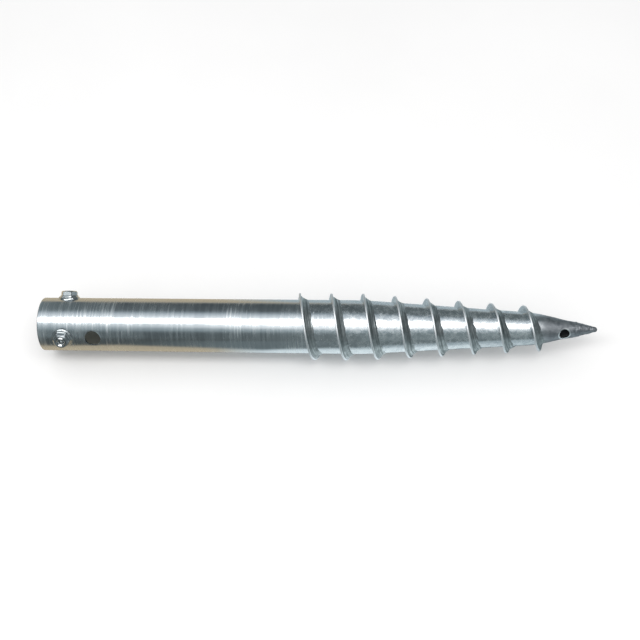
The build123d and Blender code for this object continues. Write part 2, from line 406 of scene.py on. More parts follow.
def flight_mesh():
    """Steel strip on edge: thicker at its foot, rounded at its crest, a little uneven."""
    stations = np.arange(FLIGHT_START, FLIGHT_END, 0.42 * MM)
    crest_path = around(stations, flight_angle(stations), PIPE_RADIUS)
    fade = 1 - 0.55 * smooth_step(stations, FLIGHT_END - 7 * MM, FLIGHT_END)
    height = (FLIGHT_HEIGHT - 0.25 * MM + 0.14 * MM * waves(crest_path, 0.030, 5)) * fade
    lean = 0.35 * MM * waves(crest_path, 0.060, 6)
    section = strip_section()
    share = section[:, 1]
    sections = np.empty((len(stations), len(section), 2))
    sections[..., 1] = height[:, None] * share
    sections[..., 0] = section[:, 0] + lean[:, None] * np.clip(share, 0, 1) ** 2
    return capped(wound_grid(stations, sections, straight_cone))


def crater_depth(stations, share):
    """0 to 1: a pit once each turn, where one run of weld stopped and the next began."""
    from_crater = flight_angle(stations) - CRATER_ANGLE + math.pi
    from_crater = np.mod(from_crater, 2 * math.pi) - math.pi
    along_run = np.exp(-((from_crater / CRATER_WIDTH) ** 2))
    across_run = np.exp(-(((share - 0.62) / 0.16) ** 2))
    return along_run[:, None] * across_run


def flight_weld_mesh():
    """Hollow fillet along the flight's tip side, streaked lengthwise and rippled across."""
    stations = np.arange(FLIGHT_START + 1.5 * MM, FLIGHT_WELD_END, 0.075 * MM)
    path = around(stations, flight_angle(stations), PIPE_RADIUS)
    run = 2 * math.pi * WELD_MEAN_RADIUS / FLIGHT_PITCH * (stations - stations[0])
    size = 0.45 + 0.55 * smooth_step(run, 0, 9 * MM) * smooth_step(run[-1] - run, 0, 14 * MM)
    leg_up = (WELD_ON_FLIGHT + 0.5 * MM * waves(path, 0.020, 7)) * size
    unevenness = 0.5 * MM * waves(path, 0.016, 8) + 0.25 * MM * waves(path, 0.005, 9)
    leg_along = (WELD_ON_PIPE + unevenness) * size
    share = np.linspace(0, 1, 13)
    middle = 2 * share * (1 - share)
    face = FLIGHT_HALF_FOOT - 0.25 * MM
    along = face + leg_along[:, None] * (0.36 * middle + share**2)
    height = leg_up[:, None] * ((1 - share) ** 2 + 0.40 * middle)

    body = np.sin(math.pi * share) ** 0.7
    crescent = run[:, None] / WELD_CRESCENT_LENGTH + 1.1 * (2 * share - 0.8) ** 2
    crescent = crescent + 0.3 * waves(path, 0.012, 10)[:, None]
    ripple = 0.10 * MM * (1 - np.abs(np.sin(math.pi * crescent)))
    unrolled = np.stack([0.10 * run[:, None] + 0 * along, along, height], axis=-1)
    streak = 0.13 * MM * waves(unrolled, 0.0030, 11)
    lump = 0.22 * MM * waves(unrolled * [3, 1, 1], 0.0075, 12)
    lift = (ripple + streak + lump) * body - CRATER_DEPTH * crater_depth(stations, share)
    along = along + 0.62 * lift
    height = height + 0.78 * lift + 0.12 * MM * share

    toe = along[:, -1:]
    buried = np.full_like(toe, -0.8 * MM)
    root = np.full_like(toe, face - 0.3 * MM)
    along = np.hstack([along, toe + 0.12 * MM, toe - 0.3 * MM, root])
    height = np.hstack([height, height[:, -1:] - 0.32 * MM, buried, buried])
    return capped(wound_grid(stations, np.stack([along, height], axis=-1), pipe_surface))


# ---------------------------------------------------------------- nuts, set screws and their welds


def on_screw_line(angle, along, across, outward):
    """Points in a screw's own frame: along the anchor, across it, and outward from its axis."""
    lift = np.array([0, -math.sin(angle), math.cos(angle)])
    side = np.array([0, math.cos(angle), math.sin(angle)])
    points = outward[..., None] * lift + across[..., None] * side
    points[..., 0] += SCREW_X + along
    return points


def turned(angle, radius, theta, outward):
    """Points of a grid of radii round a screw's line, at distances from the anchor's axis."""
    radius, theta, outward = np.broadcast_arrays(radius, theta, outward)
    return on_screw_line(angle, radius * np.cos(theta), radius * np.sin(theta), outward)


def hexagon(theta, flat_radius, corner_loss):
    """Radius of a hexagon at each angle, its corners eased."""
    sector = np.mod(theta - NUT_TURN, math.pi / 3) - math.pi / 6
    corner = flat_radius / math.cos(math.pi / 6) - corner_loss
    return np.minimum(flat_radius / np.cos(sector), corner)


def thread_wave(height, theta):
    """Right-handed thread as a wave from 0 at the root to 1 at the crest."""
    phase = np.mod(height / THREAD_PITCH - theta / (2 * math.pi), 1)
    return np.clip(1.45 * (1 - np.abs(2 * phase - 1)) - 0.12, 0, 1)


def nut_mesh(angle):
    """Hexagon nut with chamfered corners and a threaded bore."""
    theta = NUT_TURN + np.radians(np.arange(0, 360, 3))
    side = hexagon(theta, NUT_FLAT_RADIUS, 0.22 * MM)
    drop = (side - NUT_FACE_RADIUS) * NUT_CHAMFER
    edge_drop = NUT_EDGE * NUT_CHAMFER
    face = np.minimum(side, NUT_FACE_RADIUS)
    rows = [
        (NUT_BORE_RADIUS + NUT_BORE_LEAD + 0 * theta, 0 * theta),
        (face, 0 * theta),
        (side - NUT_EDGE, drop - edge_drop),
        (side, drop + NUT_EDGE),
        (side, 0.5 * NUT_HEIGHT + 0 * theta),
        (side, NUT_HEIGHT - drop - NUT_EDGE),
        (side - NUT_EDGE, NUT_HEIGHT - drop + edge_drop),
        (face - NUT_EDGE, NUT_HEIGHT + 0 * theta),
        (NUT_BORE_RADIUS + NUT_BORE_LEAD + 0 * theta, NUT_HEIGHT + 0 * theta),
    ]
    for height in np.arange(NUT_HEIGHT - 0.15 * MM, 0, -0.18 * MM):
        from_face = min(height, NUT_HEIGHT - height)
        groove = NUT_GROOVE_DEPTH * (1 - thread_wave(height, theta))
        depth = np.maximum(groove, NUT_BORE_LEAD - from_face)
        rows.append((NUT_BORE_RADIUS + depth, height + 0 * theta))
    radius = np.array([row[0] for row in rows])
    height = np.clip(np.array([row[1] for row in rows]), 0, NUT_HEIGHT)
    grid = turned(angle, radius, theta, PIPE_RADIUS + height)
    index = np.arange(radius.size).reshape(radius.shape)
    return grid.reshape(-1, 3), grid_faces(index, close_rows=True, close_columns=True)


def set_screw_mesh(angle, inner_end):
    """Headless screw: cup point, rolled thread, chamfered ends and a dished hexagon socket."""
    theta = NUT_TURN + np.radians(np.arange(0, 360, 5))
    key = hexagon(theta, HEX_KEY_RADIUS, 0.05 * MM)
    rows = [
        (0.6 * MM + 0 * theta, 1.35 * MM),
        (2.2 * MM + 0 * theta, 0.72 * MM),
        (3.9 * MM + 0 * theta, 0.05 * MM),
        (4.1 * MM + 0 * theta, 0.0),
        (4.9 * MM + 0 * theta, 0.0),
    ]
    end_radius = SCREW_RADIUS - SCREW_EDGE
    for height in np.arange(0.1 * MM, SCREW_LENGTH, 0.17 * MM):
        thread = SCREW_RADIUS - THREAD_DEPTH * (1 - thread_wave(height, theta))
        from_end = min(height, SCREW_LENGTH - height)
        rows.append((np.minimum(thread, end_radius + from_end / SCREW_EDGE_SLOPE), height))
    dish_floor = SCREW_LENGTH - HEX_MOUTH_SLOPE * (HEX_MOUTH_RADIUS - HEX_KEY_RADIUS)
    key_floor = SCREW_LENGTH - HEX_KEY_DEPTH
    rows += [
        (end_radius + 0.02 * MM + 0 * theta, SCREW_LENGTH),
        (HEX_MOUTH_RADIUS + 0.08 * MM + 0 * theta, SCREW_LENGTH),
        (HEX_MOUTH_RADIUS + 0 * theta, SCREW_LENGTH - 0.06 * MM),
        (key + 0.02 * MM, dish_floor),
        (key, dish_floor - 0.1 * MM),
        (key, key_floor),
        (0.93 * key, key_floor - 0.15 * MM),
        (0.5 * MM + 0 * theta, key_floor - 1.2 * MM),
    ]
    radius = np.array([row[0] for row in rows])
    height = np.array([row[1] for row in rows])[:, None]
    return capped(turned(angle, radius, theta, inner_end + height))


def nut_weld_mesh(angle, seed):
    """Two runs of weld round a nut, from its flats down to the pipe's curved surface."""
    theta = np.radians(np.arange(0, 360, 1.5))
    ring = np.stack([np.cos(theta), np.sin(theta), 0 * theta], axis=-1)
    top_radius = hexagon(theta, NUT_FLAT_RADIUS, 0.2 * MM) - 0.25 * MM
    top_height = NUT_WELD_HEIGHT + 0.25 * MM * waves(ring, 1.6, seed)
    unevenness = 0.40 * waves(ring, 1.3, seed + 1) + 0.12 * waves(ring, 0.35, seed + 2)
    foot_radius = NUT_WELD_RADIUS + unevenness * MM

    def pipe_drop(radius):
        return np.sqrt(PIPE_RADIUS**2 - (radius * np.sin(theta)) ** 2) - PIPE_RADIUS

    share = np.linspace(0, 1, 12)[:, None]
    body = np.sin(math.pi * share) ** 0.8
    radius = top_radius + (foot_radius - top_radius) * share
    height = top_height * (1 - share) + (pipe_drop(foot_radius) + 0.1 * MM) * share
    crescent = NUT_WELD_RIPPLES * theta / (2 * math.pi) + 0.9 * share**2
    crescent = crescent + 0.25 * waves(ring, 0.5, seed + 3)
    ripple = 0.05 * MM * (1 - np.abs(np.sin(math.pi * crescent))) * body
    runs = 1 - np.cos(4 * math.pi * (share + 0.02 * waves(ring, 0.9, seed + 5)))
    lump = 0.05 * MM * waves(ring, 0.4, seed + 4) * body
    lift = ripple + 0.36 * MM * runs + lump
    radius = radius + 0.6 * lift
    height = height + 0.8 * lift
    under = 0.8 * MM
    root = NUT_FACE_RADIUS - 0.6 * MM
    hidden = [
        (foot_radius + 0.05 * MM, pipe_drop(foot_radius) - 0.15 * MM),
        (foot_radius - 0.4 * MM, pipe_drop(foot_radius) - under),
        (root + 0 * theta, pipe_drop(root) - under),
        (root + 0 * theta, 1.0 * MM + 0 * theta),
    ]
    radius = np.vstack([radius] + [row[0] for row in hidden])
    height = np.vstack([height] + [row[1] for row in hidden])
    grid = turned(angle, radius, theta, PIPE_RADIUS + height)
    index = np.arange(radius.size).reshape(radius.shape)
    return grid.reshape(-1, 3), grid_faces(index, close_rows=True, close_columns=True)


# ---------------------------------------------------------------- tip weld and spatter


def tip_weld_mesh():
    """Weld metal built up over the pipe's end, dressed to a blunt, lumpy point."""
    start = NOSE_START
    nose = TOTAL_LENGTH - NOSE_RADIUS
    turn = np.radians(np.arange(15, 90, 15))
    cone = np.linspace(start + 0.5 * MM, nose, 44)
    x = np.concatenate([[start], cone, nose + 0.98 * NOSE_RADIUS * np.sin(turn)])
    below = outline(start, OUTLINE_RADIUS) - 0.7 * MM
    knots = [
        (start, below),
        (start + 0.5 * MM, below + 0.75 * MM),
        (start + 2 * MM, below + 0.85 * MM),
        (NOSE_SHOULDER, NOSE_SHOULDER_RADIUS),
        (nose, NOSE_RADIUS),
    ]
    radius = np.interp(x, *zip(*knots))
    radius[-len(turn) :] = NOSE_RADIUS * np.cos(turn)
    theta = np.radians(np.arange(0, 360, 4))
    x_grid, theta_grid = np.meshgrid(x, theta, indexing="ij")
    points = around(x_grid, theta_grid, radius[:, None])
    inside = smooth_step(x_grid, start, start + 2 * MM)
    inside = inside * smooth_step(TOTAL_LENGTH - x_grid, 0, 5 * MM)
    stroke = x_grid / (2.3 * MM) + 0.5 * np.cos(theta_grid + 0.6)
    stroke = 1 - np.abs(np.sin(math.pi * stroke))
    lift = 0.25 * waves(points, 0.011, 21) + 0.16 * waves(points, 0.0045, 22) + 0.22 * stroke
    return capped(around(x_grid, theta_grid, radius[:, None] + lift * inside * MM))


def bead(centre, normal, radius, seed):
    """One small frozen drop of weld metal, squashed onto the surface it struck."""
    rings = np.radians(np.arange(12, 180, 26))
    columns = np.radians(np.arange(0, 360, 36))
    polar, turn = np.meshgrid(rings, columns, indexing="ij")
    side = np.cross(normal, [1.0, 0.2, 0.1])
    side /= np.linalg.norm(side)
    other = np.cross(normal, side)
    ball = (
        0.75 * np.cos(polar)[..., None] * normal
        + (np.sin(polar) * np.cos(turn))[..., None] * side
        + (np.sin(polar) * np.sin(turn))[..., None] * other
    )
    lumpy = radius * (1 + 0.14 * waves(ball, 1.4, seed))
    return capped(centre + ball * lumpy[..., None])


def spatter_spots():
    """Place along the axis, angle and radius of every drop of spatter."""
    random = np.random.default_rng(31)
    spots = []
    for _ in range(FLIGHT_DROPS):
        x = random.uniform(FLIGHT_START + 6 * MM, FLIGHT_WELD_END - 10 * MM)
        gap = FLIGHT_HALF_FOOT + WELD_ON_PIPE + random.exponential(3.5 * MM)
        place = min(x + gap, CONE_END)
        spots.append((place, flight_angle(x), random.uniform(0.25, 0.62) * MM))
    for angle in SCREW_ANGLES.values():
        for _ in range(NUT_DROPS):
            turn = random.uniform(0, 2 * math.pi)
            gap = 15 * MM + random.exponential(2.5 * MM)
            place = SCREW_X + gap * math.cos(turn)
            spot_angle = angle + gap * math.sin(turn) / PIPE_RADIUS
            spots.append((place, spot_angle, random.uniform(0.2, 0.45) * MM))
    return spots


def spatter_mesh():
    """Drops of spatter beside the flight's weld and round the nuts."""
    vertices, faces, count = [], [], 0
    for number, (x, angle, radius) in enumerate(spatter_spots()):
        centre = around(x, angle, outer_radius(x, angle) + 0.25 * radius)
        normal = around(0.0, angle, 1.0)
        drop_vertices, drop_faces = bead(centre, normal, radius, 40 + number)
        vertices.append(drop_vertices)
        faces += [[corner + count for corner in face] for face in drop_faces]
        count += len(drop_vertices)
    return np.vstack(vertices), faces


# ---------------------------------------------------------------- materials


def add_node(tree, kind, inputs=(), **settings):
    """Add a shader node, set its properties, and fill its inputs with values or other sockets."""
    node = tree.nodes.new(kind)
    for name, value in settings.items():
        setattr(node, name, value)
    for name, value in dict(inputs).items():
        if isinstance(value, bpy.types.NodeSocket):
            tree.links.new(value, node.inputs[name])
        else:
            node.inputs[name].default_value = value
    return node


def stretched_noise(tree, position, scale, turn=(0, 0, 0), detail=4.0, rough=0.6, distortion=0.0):
    """Noise with its own scale along each axis, per metre; one number scales all three alike."""
    if isinstance(scale, (int, float)):
        scale = (scale, scale, scale)
    inputs = {"Vector": position, "Scale": scale, "Rotation": turn}
    mapping = add_node(tree, "ShaderNodeMapping", inputs)
    inputs = {
        "Vector": mapping.outputs["Vector"],
        "Scale": 1.0,
        "Detail": detail,
        "Roughness": rough,
        "Distortion": distortion,
    }
    return add_node(tree, "ShaderNodeTexNoise", inputs).outputs["Fac"]


def remap(tree, value, low, high, new_low=0.0, new_high=1.0):
    """Ramp from new_low at low to new_high at high, flat outside."""
    inputs = {
        "Value": value,
        "From Min": low,
        "From Max": high,
        "To Min": new_low,
        "To Max": new_high,
    }
    return add_node(tree, "ShaderNodeMapRange", inputs, clamp=True).outputs["Result"]


def combine(tree, operation, *values):
    """One arithmetic step, carried on over further values for sums and products."""
    total = values[0]
    for value in values[1:]:
        inputs = {0: total, 1: value}
        total = add_node(tree, "ShaderNodeMath", inputs, operation=operation).outputs[0]
    return total


def weighted_sum(tree, *pairs):
    """Sum of sockets, each times its own weight."""
    terms = [combine(tree, "MULTIPLY", socket, weight) for socket, weight in pairs]
    return combine(tree, "ADD", *terms)


def combine_vectors(tree, operation, first, second):
    """Outputs of one step of vector arithmetic: Vector and Value."""
    inputs = {0: first, 1: second}
    return add_node(tree, "ShaderNodeVectorMath", inputs, operation=operation).outputs


def scaled(tree, vector, scale):
    inputs = {0: vector, "Scale": scale}
    return add_node(tree, "ShaderNodeVectorMath", inputs, operation="SCALE").outputs["Vector"]


def length(tree, vector):
    inputs = {0: vector}
    return add_node(tree, "ShaderNodeVectorMath", inputs, operation="LENGTH").outputs["Value"]


def split(tree, vector):
    """A vector's X, Y and Z."""
    return add_node(tree, "ShaderNodeSeparateXYZ", {"Vector": vector}).outputs


def mix_value(tree, share, first, second):
    inputs = {"Factor": share, "A": first, "B": second}
    return add_node(tree, "ShaderNodeMix", inputs, data_type="FLOAT").outputs["Result"]


def mix_colour(tree, share, first, second):
    node = add_node(tree, "ShaderNodeMix", data_type="RGBA")
    for socket, value in ((0, share), (6, first), (7, second)):
        if isinstance(value, bpy.types.NodeSocket):
            tree.links.new(value, node.inputs[socket])
        else:
            node.inputs[socket].default_value = value
    return node.outputs[2]


def radius_from_axis(tree, place):
    squares = [combine(tree, "POWER", place[name], 2.0) for name in ("Y", "Z")]
    return combine(tree, "SQRT", combine(tree, "ADD", *squares), 0.0)


def unwrapped_radius(tree, position):
    """Distance from the axis as if the cones were straight: 34 mm all along the pipe's outside."""
    place = split(tree, position)
    radius = radius_from_axis(tree, place)
    point_slope = (OUTLINE_RADIUS[2] - OUTLINE_RADIUS[3]) / (PIPE_END - CONE_END)
    for start, slope in ((SOCKET_LENGTH, CONE_SLOPE), (CONE_END, point_slope - CONE_SLOPE)):
        past = combine(tree, "MAXIMUM", combine(tree, "SUBTRACT", place["X"], start), 0.0)
        radius = combine(tree, "ADD", radius, combine(tree, "MULTIPLY", past, slope))
    return radius


def drain_hole_rim(tree, position):
    """1 on the drain hole's wall and rounded edge, 0 a little outside it and on the far side."""
    line = (0, -math.sin(FRONT_ANGLE), math.cos(FRONT_ANGLE))
    offset = combine_vectors(tree, "SUBTRACT", position, (DRAIN_HOLE_X, 0, 0))["Vector"]
    across = combine_vectors(tree, "CROSS_PRODUCT", offset, line)["Vector"]
    towards = combine_vectors(tree, "DOT_PRODUCT", offset, line)["Value"]
    fade = (DRAIN_HOLE_RADIUS + 2.4 * MM, DRAIN_HOLE_RADIUS + 0.9 * MM)
    near = remap(tree, length(tree, across), *fade)
    return combine(tree, "MULTIPLY", near, remap(tree, towards, 0.0, 1 * MM))


def new_material(name):
    """An empty node material with its shader and the object's own position."""
    material = bpy.data.materials.new(name)
    material.use_nodes = True
    tree = material.node_tree
    tree.nodes.clear()
    shader = add_node(tree, "ShaderNodeBsdfPrincipled", {"Metallic": 1.0})
    add_node(tree, "ShaderNodeOutputMaterial", {"Surface": shader.outputs["BSDF"]})
    position = add_node(tree, "ShaderNodeTexCoord").outputs["Object"]
    return material, tree, shader, position


def connect(tree, shader, colour, roughness, height, distance):
    """Wire colour, roughness and relief (a height from 0 to 1 over a distance) into a shader."""
    inputs = {"Height": height, "Distance": distance, "Strength": 1.0}
    bump = add_node(tree, "ShaderNodeBump", inputs)
    tree.links.new(colour, shader.inputs["Base Color"])
    tree.links.new(roughness, shader.inputs["Roughness"])
    tree.links.new(bump.outputs["Normal"], shader.inputs["Normal"])


def socket_wear(tree, position, wipes):
    """Slanted scuffs in clusters over a wiped, cloudy film: 0 is clean metal and 1 is scuffed."""
    slanted = {"turn": (0, 0, 0.20), "detail": 3, "rough": 0.5, "distortion": 0.25}
    strokes = stretched_noise(tree, position, (380, 30, 30), **slanted)
    clusters = stretched_noise(tree, position, (34, 12, 12), detail=2)
    clouds = stretched_noise(tree, position, (26, 30, 30))
    strokes = remap(tree, strokes, 0.50, 0.70, 0, 0.62)
    scuffs = combine(tree, "MULTIPLY", strokes, remap(tree, clusters, 0.44, 0.60))
    wiped = remap(tree, wipes, 0.38, 0.72, 0, 0.36)
    cloudy = remap(tree, clouds, 0.35, 0.7, -0.1, 0.16)
    film = combine(tree, "ADD", wiped, cloudy)
    return combine(tree, "MINIMUM", combine(tree, "ADD", scuffs, film), 1.0)


def cone_wear(tree, position, mottle):
    """Mottling, crystals of zinc and broad dark patches."""
    cells = add_node(tree, "ShaderNodeTexVoronoi", {"Vector": position, "Scale": 230.0})
    colours = {"Color": cells.outputs["Color"]}
    spangle = add_node(tree, "ShaderNodeSeparateColor", colours).outputs["Red"]
    patches = stretched_noise(tree, position, 95, distortion=0.5)
    mottled = remap(tree, mottle, 0.36, 0.70)
    mottled = combine(tree, "ADD", mottled, remap(tree, spangle, 0, 1, -0.18, 0.18))
    return combine(tree, "ADD", mottled, remap(tree, patches, 0.35, 0.65, -0.24, 0.26))


def pipe_material():
    """Zinc on pipe: scuffed round the socket, mottled on the cone, dull at the point."""
    material, tree, shader, position = new_material("zinc_pipe")
    place = split(tree, position)["X"]
    cone = remap(tree, place, 0.30, 0.42)
    point = remap(tree, place, 0.622, 0.642)
    inside = remap(tree, unwrapped_radius(tree, position), 0.0318, 0.0312)
    outside = combine(tree, "SUBTRACT", 1.0, inside)
    # The drain hole's edge and wall, which get a painted highlight.
    rim = combine(tree, "MULTIPLY", drain_hole_rim(tree, position), outside)

    wipes = stretched_noise(tree, position, (300, 17, 17), turn=(0, 0, -0.06))
    mottle = stretched_noise(tree, position, 210, detail=6, rough=0.68, distortion=0.6)
    grain = stretched_noise(tree, position, 1500, detail=2)
    scuffed = socket_wear(tree, position, wipes)
    mottled = cone_wear(tree, position, mottle)
    wear = mix_value(tree, cone, scuffed, mottled)

    bright = mix_colour(tree, wear, (0.58, 0.61, 0.635, 1), (0.88, 0.90, 0.91, 1))
    dull = mix_colour(tree, wear, (0.27, 0.285, 0.305, 1), (0.44, 0.455, 0.475, 1))
    # Bore lining: pale zinc in the socket, painted near black inside the point as shade deep in the
    # narrow bore.
    lining_and_painted_shade = mix_colour(tree, point, (0.76, 0.76, 0.74, 1), (0.16, 0.17, 0.18, 1))
    colour = mix_colour(tree, point, bright, dull)
    colour = mix_colour(tree, inside, colour, lining_and_painted_shade)
    # Painted highlight: the drain hole's edge and wall are painted pale zinc and made smoother.
    colour = mix_colour(tree, rim, colour, (0.90, 0.92, 0.93, 1))

    socket_gloss = remap(tree, scuffed, 0, 1, 0.17, 0.50)
    cone_gloss = remap(tree, mottled, 0, 1, 0.15, 0.36)
    gloss = mix_value(tree, cone, socket_gloss, cone_gloss)
    gloss = mix_value(tree, point, gloss, remap(tree, mottle, 0.3, 0.7, 0.46, 0.60))
    gloss = mix_value(tree, inside, gloss, 0.80)
    gloss = mix_value(tree, rim, gloss, 0.22)

    relief = weighted_sum(tree, (wipes, 0.5), (grain, 0.2))
    pitted = combine(tree, "ADD", combine(tree, "MULTIPLY", mottle, 0.9), relief)
    connect(tree, shader, colour, gloss, mix_value(tree, cone, relief, pitted), 0.05 * MM)
    return material


def cast_zinc_material(name, dark, light, smooth, rough, size, relief, painted_highlight_above=None):
    """Zinc over rough metal, cloudy and pitted; the flight's crest may get a painted highlight."""
    material, tree, shader, position = new_material(name)
    scale = 1 / size
    clouds = stretched_noise(tree, position, scale / 4, detail=5, rough=0.65, distortion=0.4)
    skin = stretched_noise(tree, position, scale, detail=5)
    grain = stretched_noise(tree, position, 5 * scale, detail=2)
    cloudy = remap(tree, clouds, 0.35, 0.68, 0, 0.75)
    wear = combine(tree, "ADD", cloudy, remap(tree, skin, 0.4, 0.7, 0, 0.25))
    colour = mix_colour(tree, wear, dark, light)
    gloss = remap(tree, clouds, 0.32, 0.70, rough, smooth)
    if painted_highlight_above:
        radius = unwrapped_radius(tree, position)
        # Painted highlight: above this radius the crest is painted near white and made rougher, so
        # it shows a bright line.
        crest = remap(tree, radius, painted_highlight_above, painted_highlight_above + 0.8 * MM)
        colour = mix_colour(tree, crest, colour, (0.95, 0.96, 0.97, 1))
        gloss = mix_value(tree, crest, gloss, 0.52)
    height = weighted_sum(tree, (skin, 0.8), (grain, 0.2))
    connect(tree, shader, colour, gloss, height, relief)
    return material


def along_the_weld(tree, position):
    """Position rolled out along the flight's weld, so that noise is drawn out into streaks."""
    place = split(tree, position)
    back = combine(tree, "MULTIPLY", place["Y"], -1.0)
    turn = combine(tree, "DIVIDE", combine(tree, "ARCTAN2", back, place["Z"]), 2 * math.pi)
    first_turn = (FLIGHT_START_ANGLE - math.pi / 2) / (2 * math.pi)
    turn = combine(tree, "SUBTRACT", turn, first_turn)
    pitches = combine(tree, "DIVIDE", place["X"], FLIGHT_PITCH)
    across = combine(tree, "FRACT", combine(tree, "SUBTRACT", pitches, turn), 0.0)
    across = combine(tree, "MULTIPLY", across, FLIGHT_PITCH)
    inputs = {"X": across, "Y": radius_from_axis(tree, place), "Z": 0.0}
    unrolled = add_node(tree, "ShaderNodeCombineXYZ", inputs).outputs["Vector"]
    drift = scaled(tree, position, 0.045)
    return combine_vectors(tree, "ADD", unrolled, drift)["Vector"]


def weld_material(name, dark, light, rough, smooth, relief, along_run):
    """Weld zinc: dull, with brighter streaks, which may follow the flight."""
    material, tree, shader, position = new_material(name)
    streaks_place = along_the_weld(tree, position) if along_run else position
    streaks = stretched_noise(tree, streaks_place, 620, distortion=0.3)
    clouds = stretched_noise(tree, position, 150)
    grain = stretched_noise(tree, position, 2600, detail=2)
    cloudy = remap(tree, clouds, 0.30, 0.62, 0.45, 1.0)
    wear = combine(tree, "MULTIPLY", remap(tree, streaks, 0.36, 0.68), cloudy)
    colour = mix_colour(tree, wear, dark, light)
    gloss = mix_value(tree, wear, rough, smooth)
    height = weighted_sum(tree, (streaks, 0.7), (grain, 0.3))
    connect(tree, shader, colour, gloss, height, relief)
    return material


# ---------------------------------------------------------------- assembly

pipe_zinc = pipe_material()
strip_zinc = cast_zinc_material(
    "zinc_strip",
    dark=(0.50, 0.53, 0.55, 1),
    light=(0.82, 0.84, 0.85, 1),
    smooth=0.17,
    rough=0.36,
    size=2.2 * MM,
    relief=0.06 * MM,
    # The flight's crest gets a painted highlight near its top.
    painted_highlight_above=PIPE_RADIUS + FLIGHT_HEIGHT - 1.5 * MM,
)
nut_zinc = cast_zinc_material(
    "zinc_nut",
    dark=(0.55, 0.58, 0.60, 1),
    light=(0.84, 0.86, 0.87, 1),
    smooth=0.14,
    rough=0.32,
    size=1.3 * MM,
    relief=0.035 * MM,
)
screw_zinc = cast_zinc_material(
    "zinc_screw",
    dark=(0.58, 0.60, 0.61, 1),
    light=(0.86, 0.87, 0.87, 1),
    smooth=0.13,
    rough=0.30,
    size=0.9 * MM,
    relief=0.02 * MM,
)
flight_weld_zinc = weld_material(
    "zinc_flight_weld",
    dark=(0.20, 0.23, 0.235, 1),
    light=(0.80, 0.84, 0.84, 1),
    rough=0.52,
    smooth=0.32,
    relief=0.16 * MM,
    along_run=True,
)
bead_zinc = weld_material(
    "zinc_bead",
    dark=(0.46, 0.49, 0.50, 1),
    light=(0.88, 0.90, 0.91, 1),
    rough=0.32,
    smooth=0.18,
    relief=0.05 * MM,
    along_run=False,
)

new_piece("pipe", *pipe_mesh(), pipe_zinc, ["tube_body"], "galvanised_pipe", sharp=50)
new_piece("flight", *flight_mesh(), strip_zinc, ["helical_flight"], "galvanised_strip")
new_piece(
    "flight_bead",
    *flight_weld_mesh(),
    flight_weld_zinc,
    ["flight_weld"],
    "galvanised_weld",
    sharp=60,
)
new_piece("nose", *tip_weld_mesh(), pipe_zinc, ["tip_weld"], "galvanised_weld", sharp=60)
new_piece("weld_spatter", *spatter_mesh(), bead_zinc, slot="galvanised_weld", sharp=180)
for number, angle in SCREW_ANGLES.items():
    nut = nut_mesh(angle)
    weld = nut_weld_mesh(angle, seed=100 * number)
    screw = set_screw_mesh(angle, SCREW_INNER_ENDS[number])
    new_piece(f"hex_nut_{number}", *nut, nut_zinc, [f"nut_{number}"], "zinc_nut", sharp=24)
    new_piece(
        f"nut_bead_{number}",
        *weld,
        bead_zinc,
        [f"nut_weld_{number}"],
        "galvanised_weld",
        sharp=60,
    )
    new_piece(
        f"clamp_screw_{number}",
        *screw,
        screw_zinc,
        [f"set_screw_{number}"],
        "zinc_screw",
        body=f"screw_{number}",
        sharp=40,
    )


# ---------------------------------------------------------------- stage, light and camera

PALE = (0.97, 0.97, 0.97, 1)
# WARM_GROUND to COOL_SHADE glow on the floor in the metal's reflections: BRIGHT_GROUND is painted
# light, the two shades are painted shade.
WARM_GROUND = (0.60, 0.515, 0.375, 1)
COOL_GROUND = (0.46, 0.545, 0.58, 1)
BRIGHT_GROUND = (0.88, 0.99, 1.03, 1)
WARM_SHADE = (0.090, 0.105, 0.105, 1)
COOL_SHADE = (0.185, 0.225, 0.235, 1)
ROOM_DARK = (0.09, 0.108, 0.115, 1)
ROOM_GLOW = (1.35, 1.38, 1.40, 1)
LIFT_TINT = (1.0, 1.2, 1.24)
FLOOR_REACH = 6.0

# What the metal mirrors, by angle in degrees from the viewer's horizon up over the anchor.
RAMP_START = -107
ROOM = [
    (-87, WARM_GROUND),
    (-17, WARM_SHADE),
    (25, ROOM_DARK),
    (33, (0.15, 0.18, 0.19, 1)),
    (39, (0.33, 0.40, 0.42, 1)),
    (50, (0.46, 0.53, 0.56, 1)),
    (63, (0.72, 0.80, 0.83, 1)),
    (101, (0.84, 0.90, 0.94, 1)),
    (111, (0.62, 0.69, 0.74, 1)),
    (120, (0.28, 0.34, 0.37, 1)),
    (127, (0.115, 0.135, 0.145, 1)),
    (171, (0.085, 0.10, 0.105, 1)),
    (181, (0.34, 0.35, 0.34, 1)),
    (243, (0.34, 0.35, 0.34, 1)),
]


def plain_floor(tree, position):
    """Matt pale floor that fades into the pale backdrop far away."""
    speckle = remap(tree, stretched_noise(tree, position, 3, detail=3), 0.3, 0.7)
    pale = mix_colour(tree, speckle, (0.90, 0.90, 0.90, 1), (0.93, 0.93, 0.93, 1))
    plain = add_node(tree, "ShaderNodeBsdfDiffuse", {"Color": pale}).outputs["BSDF"]
    backdrop = add_node(tree, "ShaderNodeEmission", {"Color": PALE}).outputs["Emission"]
    fade = remap(tree, length(tree, position), 1.0, 3.5)
    inputs = {0: fade, 1: plain, 2: backdrop}
    return add_node(tree, "ShaderNodeMixShader", inputs).outputs["Shader"]


